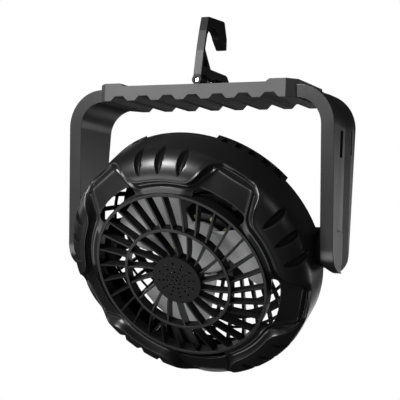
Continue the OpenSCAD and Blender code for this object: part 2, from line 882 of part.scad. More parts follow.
// Section that the vanes fill between two rings
module vane_section(r0, z0, r1, z1) {
    polygon([[r0, z0 - vane_depth], [r0, z0], [r1, z1], [r1, z1 - vane_depth]]);
}

module front_grille() {
    outer_in = grille_r - ring_w;
    mid_out = mid_ring_r + ring_w / 2;
    mid_in = mid_ring_r - ring_w / 2;
    color(black) in_head() difference() {
        union() {
            ring(outer_in, grille_r, outer_ring_low - 0.4, outer_ring_z);
            ring(mid_in, mid_out, mid_ring_low, mid_ring_z);
            ring(hub_ring_r - ring_w, hub_ring_r, hub_ring_low, cap_z - cap_t);
            intersection() {
                around(outer_vanes, outer_start) linear_extrude(2 * cap_z)
                    vane(mid_ring_r, outer_in + ring_w / 2, outer_sweep);
                rotate_extrude() vane_section(mid_ring_r, mid_ring_z - 0.6, outer_in + ring_w / 2,
                    outer_ring_z - 0.6);
            }
            intersection() {
                around(inner_vanes, inner_start) linear_extrude(2 * cap_z)
                    vane(hub_ring_r - ring_w / 2, mid_ring_r, inner_sweep);
                rotate_extrude() vane_section(hub_ring_r - ring_w / 2, cap_z - cap_t - 0.5, mid_ring_r,
                    mid_ring_z - 0.6);
            }
            at_pads() turned(9) translate([grille_r - 0.5, outer_ring_low]) square([tab_len, tab_t]);
        }
        at_pads() translate([grille_screw_at, 0, outer_ring_low - over])
            cylinder(r = screw_r + fit_gap, h = tab_t + 2 * over);
    }
}

module grille_screws() {
    color(steel) in_head() at_pads() translate([grille_screw_at, 0, outer_ring_low])
        screw(screw_r, tab_t + 2.8, screw_head_r, screw_head_t);
}

module hub_cap() {
    color(soft_black) in_head() difference() {
        union() {
            translate([0, 0, cap_z - cap_t]) cylinder(r = cap_r, h = cap_t);
            ring(hub_ring_r - ring_w - 1.6, hub_ring_r - ring_w - fit_gap, cap_z - cap_t - 3, cap_z - cap_t);
        }
        translate([0, 0, cap_z - cap_t - over]) {
            cylinder(d = cap_hole_d, h = cap_t + 2 * over, $fn = 24);
            for (k = [1:hole_rings]) around(k == 1 ? 6 : 12) translate([k * hole_pitch, 0, 0])
                cylinder(d = cap_hole_d, h = cap_t + 2 * over, $fn = 24);
        }
    }
}

// ---------- Rear basket ----------

function dome_angle(r) = acos(r / dome_r);

// Section of the dome between two angles below the horizon, inset from both faces by d
function dome_strip(a, b, d, n) = concat(arc(0, dome_z, dome_r - d, -a, -b, n),
    arc(0, dome_z, dome_r - rib_depth + d, -b, -a, n));

// The windows away from the pivots, whose rim has pockets
module at_teeth() {
    for (i = [0, 2, 4]) rotate([0, 0, first_pad + (i + 0.5) * sector]) children();
}

module rear_basket() {
    a0 = dome_angle(rim_r);
    a1 = dome_angle(ring_out_r - 1);
    step = hoop_pitch / dome_r * 180 / PI;
    hoop_half = 0.9 / dome_r * 180 / PI;
    wide_half = wide_hoop_w / 2 / dome_r * 180 / PI;
    wide_at = a0 + wide_hoop * step;
    color(black) in_head() difference() {
        union() {
            rotate_extrude() polygon([[wall_in_r - shell_wall, parting_z], [rim_r, parting_z],
                [rim_r, rim_low_z], [rim_tail_r, rim_tail_z], [rim_tail_r - 3.9, rim_tail_z],
                [wall_in_r - shell_wall, rim_low_z]]);
            at_teeth() turned((rim_pockets + 0.5) * pocket_pitch)
                polygon([[rim_tail_r - 0.9, rim_tail_z + 0.1], [rim_r - 0.05, rim_tail_z + 0.1],
                    [rim_r - 0.05, parting_z - 0.3], [rim_tail_r - 0.9, parting_z - 0.3]]);
            ring(case_r + fit_gap, ring_out_r, ring_low_z, ring_low_z + ring_t);
            around(ribs, first_pad) rotate([90, 0, 0]) linear_extrude(rib_t, center = true)
                polygon(dome_strip(a0, a1, 0, 5));
            for (a = [a0 + step:step:a1 - 1]) rotate_extrude()
                polygon(dome_strip(a - hoop_half, a + hoop_half, 0.3, 1));
            rotate_extrude() polygon(dome_strip(wide_at - wide_half, wide_at + wide_half, 0.15, 2));
            both_sides() turned(22) polygon(dome_strip(a0, a0 + 2 * step, 0.2, 3));
            at_pads() {
                translate([shell_screw_at, 0, parting_z - lug_t]) cylinder(r = 4.2, h = lug_t);
                block([shell_screw_at, -4.2, parting_z - lug_t], [wall_in_r + 0.5, 4.2, parting_z]);
            }
            intersection() {
                pivot_housing();
                block([-rim_r, -rim_r, -2 * boss_r], [rim_r, rim_r, parting_z]);
            }
        }
        at_teeth() for (k = [0:rim_pockets - 1]) rotate([0, 0, (k - (rim_pockets - 1) / 2) * pocket_pitch])
            turned(pocket_pitch - rim_tooth_w / rim_r * 180 / PI) polygon([[wall_in_r, rim_tail_z + 1],
                [rim_r + 1, rim_tail_z + 1], [rim_r + 1, parting_z - 1.3], [wall_in_r, parting_z - 1.3]]);
        pivot_bore();
        at_pads() translate([shell_screw_at, 0, -over]) cylinder(r = screw_r + fit_gap, h = 2 * parting_z);
        at_windows() translate([case_screw_at, 0, ring_low_z - over])
            cylinder(r = screw_r + fit_gap / 2, h = ring_t + 2 * over);
    }
}

module shell_screws() {
    color(steel) in_head() at_pads() translate([shell_screw_at, 0, parting_z - lug_t])
        screw(screw_r, lug_t + 10, screw_head_r, screw_head_t);
}

module pivot_bosses() {
    color(black) in_head() both_sides() difference() {
        union() {
            x_rod(boss_r, boss_start_x, boss_end_x);
            x_rod(boss_r + 1.2, boss_start_x + 3, boss_start_x + 6);
        }
        x_rod(bolt_r + running, boss_start_x - over, boss_end_x + over);
        x_rod(counter_r, boss_start_x - over, counter_x);
    }
}

// ---------- Motor and lights ----------

module at_motor_screws() {
    around(motor_screws_n, 45) translate([motor_screw_at, 0, 0]) children();
}

module wire_slot(z0, z1) {
    block([-wire_pitch * 1.7, wire_y - 1.2, z0], [wire_pitch * 1.7, wire_y + 1.2, z1]);
}

module motor_housing() {
    in_r = housing_r - housing_wall;
    base_low = motor_base_z - motor_base_t;
    color(black) in_head() difference() {
        union() {
            ring(in_r, housing_r, case_front_z, led_board_top - board_t);
            ring(bearing_r, in_r + 0.5, base_low, motor_base_z);
            ring(bearing_r - 0.6, tube_r, base_low, tube_top_z);
            ring(in_r, flange_r, case_front_z, case_front_z + flange_t);
        }
        for (z = [bearing_low_z, bearing_high_z]) translate([0, 0, z - fit_gap])
            cylinder(r = bearing_r + fit_gap / 2, h = bearing_w + 2 * fit_gap);
        translate([0, 0, base_low - over]) cylinder(r = bearing_r + fit_gap / 2, h = over + 1);
        translate([0, 0, tube_top_z - 0.3]) cylinder(r = bearing_r + fit_gap / 2, h = over);
        at_motor_screws() translate([0, 0, case_front_z - over])
            cylinder(r = screw_r + fit_gap, h = flange_t + 2 * over);
        wire_slot(base_low - over, motor_base_z + over);
    }
}

module motor_screws() {
    color(steel) in_head() at_motor_screws() translate([0, 0, case_front_z + flange_t])
        rotate([180, 0, 0]) screw(screw_r, flange_t + case_wall, screw_head_r, screw_head_t);
}

module bearings() {
    color(steel) in_head() for (z = [bearing_low_z, bearing_high_z]) difference() {
        ring(shaft_r + running, bearing_r, z, z + bearing_w);
        ring(shaft_r + 0.9, bearing_r - 0.7, z - over, z + 0.3);
        ring(shaft_r + 0.9, bearing_r - 0.7, z + bearing_w - 0.3, z + bearing_w + over);
    }
}

module stator_core() {
    color(steel) in_head() translate([0, 0, stator_low_z]) difference() {
        union() {
            ring(tube_r + fit_gap / 2, core_r, -0.3, stator_len + 0.3);
            around(teeth) block([core_r - 0.5, -tooth_w / 2, 0],
                [stator_r - stator_rim + 0.4, tooth_w / 2, stator_len]);
            ring(stator_r - stator_rim, stator_r, 0, stator_len);
        }
        around(teeth, 180 / teeth)
            block([core_r + 1, -0.9, -over], [stator_r + over, 0.9, stator_len + over]);
    }
}

module windings() {
    w = tooth_w / 2 + coil_wrap;
    color(copper) in_head() translate([0, 0, stator_low_z]) around(teeth) difference() {
        block([core_r + coil_gap, -w, -coil_wrap],
            [stator_r - stator_rim - coil_gap, w, stator_len + coil_wrap]);
        block([core_r - over, -tooth_w / 2 - 0.05, -0.05],
            [stator_r, tooth_w / 2 + 0.05, stator_len + 0.05]);
    }
}

module led_board() {
    color(black) in_head() ring(led_board_in_r, housing_r, led_board_top - board_t, led_board_top);
}

module led_chips() {
    color(light_yellow) in_head() around(lights, 4) translate([light_ring_r, 0, led_board_top + 0.4])
        cube([3.2, 2.8, 0.8], center = true);
}

// ---------- Battery case ----------

module at_cover_screws() {
    around(4, 45) translate([cover_screw_at, 0, 0]) children();
}

module cells(r) {
    for (s = [-1, 1]) translate([0, s * cell_y, cell_z]) x_rod(r, -cell_len / 2, cell_len / 2);
}

module at_board_posts() {
    for (x = [-post_x, post_x], y = post_ys) translate([x, y, 0]) children();
}

module battery_case() {
    plate_low = case_front_z - case_wall;
    color(black) in_head() difference() {
        union() {
            difference() {
                translate([0, 0, case_rear_z]) cylinder(r = case_r, h = case_len);
                translate([0, 0, case_rear_z - over])
                    cylinder(r = case_in_r, h = case_len - case_wall + over);
            }
            ring(case_r - 0.5, ring_out_r, ring_low_z - case_flange_t, ring_low_z);
            for (s = [-1, 1]) difference() {
                translate([s * cradle_x, 0, 0]) block([-cradle_t / 2, -cell_y - 5, cell_z],
                    [cradle_t / 2, cell_y + 5, plate_low + 0.5]);
                cells(cell_d / 2 + fit_gap);
            }
            for (s = [-1, 1]) translate([s * (holder_x + 0.8), 0, 0])
                block([-0.8, -cell_y - contact_over, cell_z - contact_h / 2],
                    [0.8, cell_y + contact_over, plate_low + 0.5]);
            at_cover_screws() translate([0, 0, case_rear_z + 0.3]) cylinder(r = 3, h = case_len - 1);
            at_board_posts() translate([0, 0, board_z + board_t])
                cylinder(r = 2, h = plate_low + 0.5 - board_z - board_t);
        }
        at_cover_screws() translate([0, 0, case_rear_z - over]) cylinder(r = screw_r + fit_gap / 2, h = 10);
        at_board_posts() translate([0, 0, board_z]) cylinder(r = screw_r - 0.2, h = 8);
        at_motor_screws() translate([0, 0, plate_low - over])
            cylinder(r = screw_r + fit_gap / 2, h = case_wall + 2 * over);
        at_windows() translate([case_screw_at, 0, ring_low_z - case_flange_t - over])
            cylinder(r = screw_r + fit_gap, h = case_flange_t + 2 * over);
        wire_slot(plate_low - over, case_front_z + over);
    }
}

module case_screws() {
    color(steel) in_head() at_windows() translate([case_screw_at, 0, ring_low_z - case_flange_t])
        screw(screw_r, case_flange_t + ring_t - 0.5, screw_head_r, screw_head_t);
}

module battery_cells() {
    color(cell_blue) in_head() cells(cell_d / 2);
}

module cell_contacts() {
    color(steel) in_head() for (s = [-1, 1]) {
        translate([s * (holder_x - contact_t / 2), 0, cell_z])
            cube([contact_t, 2 * (cell_y + contact_over), contact_h], center = true);
        for (t = [-1, 1]) translate([s * (cell_len / 2 + 0.1), t * cell_y, cell_z]) rotate([0, s * 90, 0])
            rotate_extrude() polygon([[spring_r / 2 - spring_wire, 0], [spring_r / 2, 0],
                [spring_r, spring_len], [spring_r - spring_wire, spring_len]]);
    }
}

// ---------- Controls ----------

module at_buttons() {
    both_sides() translate([button_x, button_y, 0]) children();
}

module control_board() {
    color(board_green) in_head() difference() {
        block([-board_half, board_low_y, board_z], [board_half, board_high_y, board_z + board_t]);
        at_board_posts() translate([0, 0, board_z - over])
            cylinder(r = screw_r + fit_gap, h = board_t + 2 * over);
    }
}

module board_screws() {
    color(steel) in_head() at_board_posts() translate([0, 0, board_z])
        screw(screw_r - 0.25, board_t + 5, screw_head_r - 0.2, 1.4);
}

module tact_switches() {
    color(black) in_head() at_buttons() difference() {
        translate([-switch_w / 2, -switch_w / 2, board_z - switch_h]) cube([switch_w, switch_w, switch_h]);
        translate([0, 0, board_z - switch_h - over])
            cylinder(r = plunger_r + running, h = switch_h + over - 0.2);
    }
}

module usb_port() {
    color(steel) in_head() translate([-usb_w / 2, usb_y - usb_h / 2, cover_rear_z + 0.3]) difference() {
        cube([usb_w, usb_h, board_z - cover_rear_z - 0.3]);
        difference() {
            translate([0.35, 0.35, -over]) cube([usb_w - 0.7, usb_h - 0.7, 6 + over]);
            translate([1.3, usb_h / 2 - 0.35, 1]) cube([usb_w - 2.6, 0.7, 7]);
        }
    }
}

module at_level_lights() {
    for (i = [0:3]) translate([(i - 1.5) * 3, board_low_y + 3.6, 0]) children();
}

module level_lights() {
    color(light_yellow) in_head() at_level_lights() translate([0, 0, cover_rear_z - 0.1])
        cylinder(r = 0.9, h = board_z - cover_rear_z + 0.1);
}

module lead_wires() {
    color(copper) in_head() for (i = [-1:1]) translate([i * wire_pitch, wire_y, board_z + board_t])
        cylinder(r = 0.6, h = led_board_top - board_t - board_z - board_t);
}

module rear_cover() {
    round = 2;
    plug_gap = 0.2;
    color(black) in_head() difference() {
        union() {
            rotate_extrude() polygon(concat([[0, case_rear_z], [0, cover_rear_z]],
                arc(case_r - round, cover_rear_z + round, round, -90, 0, 6), [[case_r, case_rear_z]]));
            difference() {
                ring(case_in_r - 1.6, case_in_r - 0.15, case_rear_z - 0.1, case_rear_z + 1.5);
                at_cover_screws() translate([0, 0, case_rear_z]) cylinder(r = 3.4, h = 2);
            }
            for (s = [-1, 1]) translate([s * cradle_x, 0, 0])
                block([-cradle_t / 2, -cell_y - 5, case_rear_z - 0.1],
                    [cradle_t / 2, cell_y + 5, cell_z - cell_d / 2 - fit_gap]);
            both_sides() hull() {
                translate([0, flap_pin_y, flap_pin_z]) x_rod(flap_ear_r, flap_w / 2 + 0.4, flap_w / 2 + 1.8);
                block([flap_w / 2 + 0.4, flap_pin_y - flap_ear_r, cover_rear_z],
                    [flap_w / 2 + 1.8, flap_pin_y + flap_ear_r, cover_rear_z + 0.5]);
            }
        }
        both_sides() translate([0, flap_pin_y, flap_pin_z]) x_rod(flap_pin_r + running, 0, flap_w / 2 + 1.3);
        at_buttons() translate([0, 0, cover_rear_z - over])
            cylinder(r = button_d / 2 + side_play, h = cover_t + 2 * over);
        translate([-usb_w / 2 - plug_gap, usb_y - usb_h / 2 - plug_gap, cover_rear_z - over])
            cube([usb_w + 2 * plug_gap, usb_h + 2 * plug_gap, cover_t + 2 * over]);
        at_level_lights() translate([0, 0, cover_rear_z - over])
            cylinder(r = 0.9 + fit_gap, h = cover_t + 2 * over);
        at_cover_screws() translate([0, 0, cover_rear_z - over]) {
            cylinder(r = screw_r + fit_gap, h = cover_t + 2 * over);
            cylinder(r = screw_head_r + side_play, h = over + 1.3);
        }
    }
}

module cover_screws() {
    color(steel) in_head() at_cover_screws() translate([0, 0, cover_rear_z + 1.3])
        screw(screw_r, cover_t - 1.3 + 8, screw_head_r, 1.2);
}

// ---------- Rotor ----------

// Middle surface of a blade: u runs round it from back edge to front edge, v from hub to tip
function blade_point(u, v, side) = let (
    r = hub_r - 1.5 + (blade_r - hub_r + 1.5) * v,
    lead = 12 * v * (1 - v) - 10 * v * v,
    trail = -14 * v + 6 * v * v,
    a = (1 - u) * (-blade_angle / 2 + trail) + u * (blade_angle / 2 + lead),
    low = hub_z - 1,
    rise = (blade_front_z - low) * (0.35 + 0.65 * min(1, v * 1.8)),
    z = low + rise * pow(u, 1.15) + side * blade_t / 2
) [r * cos(a), r * sin(a), z];

module blade() {
    nu = 12;
    nv = 7;
    grid = [for (s = [-1, 1], j = [0:nv], i = [0:nu]) blade_point(i / nu, j / nv, s)];
    row = nu + 1;
    top = row * (nv + 1);
    skin = [for (j = [0:nv - 1], i = [0:nu - 1]) let (a = j * row + i) [a, a + 1, a + row + 1, a + row]];
    low_faces = [for (f = skin) [f[2], f[1], f[0]]];
    low_faces_2 = [for (f = skin) [f[3], f[2], f[0]]];
    top_faces = [for (f = skin) [f[0] + top, f[1] + top, f[2] + top]];
    top_faces_2 = [for (f = skin) [f[0] + top, f[2] + top, f[3] + top]];
    rim_path = concat([for (i = [0:nu - 1]) i], [for (j = [0:nv - 1]) j * row + nu],
        [for (i = [nu:-1:1]) nv * row + i], [for (j = [nv:-1:1]) j * row]);
    m = len(rim_path);
    edge = [for (k = [0:m - 1]) let (a = rim_path[k], b = rim_path[(k + 1) % m]) [a + top, a, b]];
    edge_2 = [for (k = [0:m - 1]) let (a = rim_path[k], b = rim_path[(k + 1) % m]) [b + top, a + top, b]];
    polyhedron(grid, concat(low_faces, low_faces_2, top_faces, top_faces_2, edge, edge_2));
}

module rotor() {
    boss_low = bearing_high_z + bearing_w + side_play;
    color(grey) in_head() difference() {
        union() {
            translate([0, 0, hub_z - hub_t]) cylinder(r = hub_r, h = hub_t);
            ring(skirt_out_r - skirt_t, skirt_out_r, skirt_low_z, hub_z - 1);
            translate([0, 0, boss_low]) cylinder(r = shaft_r + 1.3, h = hub_z - boss_low);
            around(blades, first_blade) blade();
        }
        translate([0, 0, boss_low - over]) cylinder(r = shaft_r + 0.02, h = hub_z - boss_low + over - 0.8);
    }
}

module magnet_ring() {
    color(steel) in_head() ring(magnet_in_r, skirt_out_r - skirt_t - 0.02,
        skirt_low_z + magnet_over, stator_low_z + stator_len + magnet_over);
}

module motor_shaft() {
    color(steel) in_head() translate([0, 0, shaft_low_z]) cylinder(r = shaft_r, h = hub_z - 1 - shaft_low_z);
}

module shaft_clip() {
    color(steel) in_head() ring(shaft_r + 0.02, shaft_r + 1.6, bearing_low_z - side_play - 0.4,
        bearing_low_z - side_play);
}

// ---------- Buttons and flap ----------

module button(side) {
    r = button_d / 2;
    tip_z = cover_rear_z - button_proud;
    color(soft_black) in_head() translate([side * button_x, button_y, 0]) {
        rotate_extrude() polygon([[0, tip_z], [r - 0.8, tip_z], [r, tip_z + 0.8], [r, case_rear_z + 0.1],
            [0, case_rear_z + 0.1]]);
        translate([0, 0, case_rear_z + 0.05]) cylinder(r = r + 1.1, h = button_flange);
    }
}

module plunger(side) {
    low = case_rear_z + 0.05 + button_flange;
    color(steel) in_head() translate([side * button_x, button_y, low])
        cylinder(r = plunger_r, h = board_z - 0.4 - button_travel - low);
}

module fan_button() {
    button(-1);
}

module fan_plunger() {
    plunger(-1);
}

module light_button() {
    button(1);
}

module light_plunger() {
    plunger(1);
}

module usb_flap() {
    face_z = cover_rear_z - 0.1;
    color(soft_black) in_head() {
        block([-flap_w / 2, usb_y - flap_h / 2, face_z - flap_t],
            [flap_w / 2, usb_y + flap_h / 2 - 1.2, face_z]);
        block([-flap_w / 2, usb_y + flap_h / 2 - 1.3, face_z - flap_t],
            [flap_w / 2, flap_pin_y, face_z - 0.7]);
        translate([0, flap_pin_y, flap_pin_z]) {
            x_rod(1, -flap_w / 2, flap_w / 2);
            x_rod(flap_pin_r, -flap_w / 2 - 1.1, flap_w / 2 + 1.1);
        }
    }
}

handle_bail();
grip_front();
grip_rear();
grip_screws();
hook_bracket();
bracket_screws();
hook_pins();
pivot_bolts();
pivot_nuts();
pivot_washers();
friction_washers();
pivot_caps();
hook();
front_shell();
front_grille();
grille_screws();
hub_cap();
rear_basket();
shell_screws();
pivot_bosses();
motor_housing();
motor_screws();
bearings();
stator_core();
windings();
led_board();
led_chips();
battery_case();
case_screws();
battery_cells();
cell_contacts();
control_board();
board_screws();
tact_switches();
usb_port();
level_lights();
lead_wires();
rear_cover();
cover_screws();
rotor();
magnet_ring();
motor_shaft();
shaft_clip();
fan_button();
fan_plunger();
light_button();
light_plunger();
usb_flap();
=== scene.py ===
import json
import math

import bmesh
import bpy
from mathutils import Matrix, Vector


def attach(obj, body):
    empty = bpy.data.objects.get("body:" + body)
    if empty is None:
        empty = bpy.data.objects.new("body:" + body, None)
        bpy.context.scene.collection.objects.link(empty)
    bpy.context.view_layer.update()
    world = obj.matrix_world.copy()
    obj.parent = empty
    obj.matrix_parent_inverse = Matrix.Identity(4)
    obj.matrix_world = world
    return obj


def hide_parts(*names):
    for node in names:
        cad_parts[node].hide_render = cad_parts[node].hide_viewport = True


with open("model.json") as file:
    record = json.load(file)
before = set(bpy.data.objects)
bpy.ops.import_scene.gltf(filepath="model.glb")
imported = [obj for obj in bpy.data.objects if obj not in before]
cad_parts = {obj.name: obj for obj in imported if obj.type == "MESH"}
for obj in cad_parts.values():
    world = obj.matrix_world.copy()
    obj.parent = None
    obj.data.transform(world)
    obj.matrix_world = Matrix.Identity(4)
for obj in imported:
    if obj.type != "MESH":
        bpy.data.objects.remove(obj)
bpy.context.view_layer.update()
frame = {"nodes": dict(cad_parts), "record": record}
nodes = frame["nodes"]


# ---------- Shader maths ----------

class Wire:
    """A value in a material, so that masks and heights are written as sums."""

    def __init__(self, paint, socket):
        self.paint = paint
        self.socket = socket

    def _math(self, operation, *values):
        return self.paint.node("ShaderNodeMath", {"operation": operation}, dict(enumerate(values)))

    def __add__(self, other):
        return self._math("ADD", self, other)

    def __radd__(self, other):
        return self._math("ADD", other, self)

    def __sub__(self, other):
        return self._math("SUBTRACT", self, other)

    def __rsub__(self, other):
        return self._math("SUBTRACT", other, self)

    def __mul__(self, other):
        return self._math("MULTIPLY", self, other)

    def __rmul__(self, other):
        return self._math("MULTIPLY", other, self)

    def __gt__(self, other):
        return self._math("GREATER_THAN", self, other)

    def __lt__(self, other):
        return self._math("LESS_THAN", self, other)

    def largest(self, other):
        return self._math("MAXIMUM", self, other)

    def absolute(self):
        return self._math("ABSOLUTE", self)

    def sine(self):
        return self._math("SINE", self)


class Paint:
    """A material whose nodes are added one by one."""

    def __init__(self, name):
        self.material = bpy.data.materials.new(name)
        self.material.use_nodes = True
        self.tree = self.material.node_tree
        self.shader = self.tree.nodes["Principled BSDF"]
        self.place = self.node("ShaderNodeTexCoord", output="Object")

    def node(self, kind, settings=None, values=None, output=0):
        made = self.tree.nodes.new(kind)
        for key, value in (settings or {}).items():
            setattr(made, key, value)
        for key, value in (values or {}).items():
            self.feed(made.inputs[key], value)
        return Wire(self, made.outputs[output])

    def feed(self, socket, value):
        if isinstance(value, Wire):
            self.tree.links.new(value.socket, socket)
        elif socket.type == "RGBA" and len(value) == 3:
            socket.default_value = (*value, 1)
        else:
            socket.default_value = value

    def set(self, **values):
        for key, value in values.items():
            name = key.replace("_", " ").title().replace("Ior", "IOR")
            self.feed(self.shader.inputs[name], value)

    def noise(self, scale, detail=2.0, roughness=0.5, at=None):
        return self.node("ShaderNodeTexNoise", {}, {"Vector": at or self.place, "Scale": scale,
                         "Detail": detail, "Roughness": roughness})

    def cells(self, scale):
        return self.node("ShaderNodeTexVoronoi", {}, {"Vector": self.place, "Scale": scale}, "Distance")

    def parts(self):
        """The x, y and z of the place on the surface."""
        split = self.node("ShaderNodeSeparateXYZ", {}, {0: self.place}).socket.node
        return [Wire(self, split.outputs[i]) for i in range(3)]

    def blend(self, amount, first, second):
        return self.node("ShaderNodeMix", {"data_type": "RGBA"}, {0: amount, 6: first, 7: second}, 2)

    def between(self, value, low, high, out_low=0.0, out_high=1.0):
        return self.node("ShaderNodeMapRange", {"clamp": True}, {"Value": value, "From Min": low,
                         "From Max": high, "To Min": out_low, "To Max": out_high})

    def bump(self, height, depth, strength=1.0, edge=0.0):
        """A fine relief. Where an edge radius is given, sharp edges also look rounded by it."""
        values = {"Height": height, "Distance": depth, "Strength": strength}
        if edge:
            values["Normal"] = self.node("ShaderNodeBevel", {"samples": 6}, {"Radius": edge})
        self.feed(self.shader.inputs["Normal"], self.node("ShaderNodeBump", {}, values))


# ---------- Finishes ----------

MOTTLING = 0.12
EDGE = 0.0007


def moulded(name, colour, rough, grain=1500, grain_depth=0.00005, shine=0.5, shaded_dents=False):
    """Moulded plastic with a spark-eroded grain, faint flow marks and a few dull scuffs.

    Where asked, painted shade darkens the dents: a dark diffuse finish replaces most of the gloss wherever
    the mesh's dent mask is 1.
    """
    p = Paint(name)
    cloudy = p.noise(24, 3)
    fine = p.noise(grain, 3, 0.6)
    scuffs = p.between(p.noise(90, 6, 0.75), 0.62, 0.74)
    light = [min(1, c * (1 + MOTTLING)) for c in colour]
    dark = [c * (1 - MOTTLING) for c in colour]
    base = p.blend(cloudy, dark, light)
    worn = [min(1, c * 1.5 + 0.004) for c in colour]
    p.set(base_color=p.blend(scuffs * 0.35, base, worn))
    patchy = p.between(cloudy * 0.7 + fine * 0.3, 0.3, 0.7, rough - 0.04, rough + 0.05)
    p.set(roughness=patchy + scuffs * 0.08, specular_ior_level=shine)
    p.bump(fine + scuffs * 0.2, grain_depth, 0.5, EDGE)
    # Painted shade: in the dents a dark diffuse finish is mixed over most of the gloss, so they look
    # shadowed.
    if shaded_dents:
        dent_shade = p.node("ShaderNodeAttribute", {"attribute_name": "dent_shade"}, {}, "Fac")
        shade = p.node("ShaderNodeBsdfDiffuse", {}, {"Color": dark})
        glossy = Wire(p, p.shader.outputs[0])
        mixed = p.node("ShaderNodeMixShader", {}, {0: dent_shade * 0.9, 1: glossy, 2: shade})
        p.feed(p.tree.nodes["Material Output"].inputs["Surface"], mixed)
    return p.material


def metal(name, colour, rough):
    """Plated metal with fine drawn lines along x."""
    p = Paint(name)
    drawn = p.node("ShaderNodeMapping", {}, {"Vector": p.place, "Scale": (40, 2500, 2500)})
    lines = p.noise(1.0, 4, 0.6, drawn)
    stain = p.noise(160, 4)
    dull = [c * 0.72 for c in colour]
    p.set(base_color=p.blend(p.between(stain, 0.45, 0.7) * 0.5, colour, dull), metallic=1.0)
    p.set(roughness=p.between(lines, 0.3, 0.7, rough - 0.06, rough + 0.1) + stain * 0.06)
    p.bump(lines, 0.00002, 0.4)
    return p.material


def rubber(name, colour):
    """Dull rubber with pores, and dust in patches."""
    p = Paint(name)
    dust = p.noise(70, 5, 0.7)
    pores = p.cells(1400)
    p.set(base_color=p.blend(p.between(dust, 0.5, 0.8) * 0.6, colour, [c * 2.2 for c in colour]))
    p.set(roughness=p.between(dust, 0.3, 0.7, 0.68, 0.82))
    p.bump(pores, 0.00006, 0.4)
    return p.material


def coil_wire(name, colour, pitch):
    """Turns of enamelled wire, lying slantwise across the coils, with painted shade in the grooves between
    them.
    """
    p = Paint(name)
    x, y, z = p.parts()
    turns = (x * (6.28 / pitch) + y * (3.1 / pitch) + z * (4.7 / pitch)).sine()
    varnish = p.noise(200, 3)
    # Painted shade: the copper colour falls to 0.35 of itself in the grooves between turns.
    p.set(base_color=p.blend(turns * 0.5 + 0.5, [c * 0.35 for c in colour], colour), metallic=0.85)
    p.set(roughness=p.between(varnish, 0.3, 0.7, 0.22, 0.4))
    p.bump(turns, 0.0001, 0.6)
    return p.material


def circuit(name, colour):
    """Solder mask with copper tracks under it."""
    p = Paint(name)
    x, y, z = p.parts()
    lanes = ((x * 620).sine() > 0.75).largest((y * 700 + z * 350).sine() > 0.8)
    patches = p.between(p.cells(160), 0.42, 0.5)
    tracks = lanes * (1 - patches)
    p.set(base_color=p.blend(tracks, colour, [c * 1.9 + 0.01 for c in colour]), coat_weight=0.4)
    p.set(roughness=p.between(p.noise(400, 3), 0.3, 0.7, 0.28, 0.42))
    p.bump(tracks, 0.00005, 0.5)
    return p.material


def phosphor(name, colour):
    """Pale yellow phosphor under clear resin."""
    p = Paint(name)
    grains = p.noise(3000, 2)
    p.set(base_color=p.blend(grains, [c * 0.8 for c in colour], colour), coat_weight=0.6)
    p.set(roughness=p.between(grains, 0.3, 0.7, 0.3, 0.5))
    p.bump(grains, 0.00003, 0.3)
    return p.material


def shrink_wrap(name, colour):
    """Glossy film over a cell, wrinkled round it, with a pale band near each end."""
    p = Paint(name)
    x = p.parts()[0].absolute()
    pulled = p.node("ShaderNodeMapping", {}, {"Vector": p.place, "Scale": (500, 90, 90)})
    wrinkles = p.noise(1.0, 4, 0.6, pulled)
    bands = (x > 0.0305) * (x < 0.0312)
    p.set(base_color=p.blend(bands, colour, (0.75, 0.75, 0.72)), coat_weight=0.3)
    p.set(roughness=p.between(wrinkles, 0.3, 0.7, 0.24, 0.4))
    p.bump(wrinkles, 0.0001, 0.5)
    return p.material


NEAR_BLACK = (0.004, 0.004, 0.0042)

frame_plastic = moulded("frame_plastic", (0.008, 0.008, 0.0084), 0.32, shine=0.45)
# The shell's dents get painted shade from this finish.
shell_plastic = moulded("shell_plastic", NEAR_BLACK, 0.34, 1800, 0.00003, 0.4, shaded_dents=True)
grille_plastic = moulded("grille_plastic", NEAR_BLACK, 0.38, 1800, 0.00003, 0.15)
case_plastic = moulded("case_plastic", (0.016, 0.016, 0.017), 0.5)
grip_plastic = moulded("grip_plastic", (0.016, 0.016, 0.0165), 0.54, 1100, 0.00008, 0.4)
cap_plastic = moulded("cap_plastic", NEAR_BLACK, 0.5, 2200, 0.00008, 0.08)
hook_plastic = moulded("hook_plastic", NEAR_BLACK, 0.36, shine=0.1)
blade_plastic = moulded("blade_plastic", (0.36, 0.36, 0.364), 0.7, shine=0.15)
button_plastic = moulded("button_plastic", (0.06, 0.06, 0.062), 0.4)
plated_steel = metal("plated_steel", (0.6, 0.6, 0.61), 0.3)
dark_steel = metal("dark_steel", (0.16, 0.16, 0.17), 0.42)
nickel = metal("nickel", (0.75, 0.74, 0.7), 0.24)
washer_rubber = rubber("washer_rubber", (0.02, 0.02, 0.02))
copper_wire = coil_wire("copper_wire", (0.55, 0.22, 0.08), 0.0006)
green_board = circuit("green_board", (0.01, 0.09, 0.04))
light_phosphor = phosphor("light_phosphor", (0.75, 0.72, 0.32))
cell_wrap = shrink_wrap("cell_wrap", (0.02, 0.08, 0.3))

# The record's material slots and what is put on them
FINISHES = {
    "black_plastic": frame_plastic,
    "shell_plastic": shell_plastic,
    "case_plastic": case_plastic,
    "grip_plastic": grip_plastic,
    "cap_plastic": cap_plastic,
    "blade_plastic": blade_plastic,
    "steel": plated_steel,
    "contact_metal": nickel,
    "rubber": washer_rubber,
    "magnet_steel": dark_steel,
    "copper": copper_wire,
    "board": green_board,
    "light": light_phosphor,
    "cell_wrap": cell_wrap,
    "button_plastic": button_plastic,
}


def dress(name, material):
    """Puts one material on all of a CAD piece."""
    piece = nodes[name]
    if not piece.material_slots:
        piece.data.materials.append(material)
    for held in piece.material_slots:
        held.material = material


for entry in frame["record"]["subparts"]:
    dress(entry["node"], FINISHES[entry["material_slot"]])
dress("front_grille", grille_plastic)
dress("led_board", case_plastic)  # its solder mask is black
dress("hook", hook_plastic)
dress("hook_bracket", hook_plastic)


# ---------- Pieces that are made here ----------

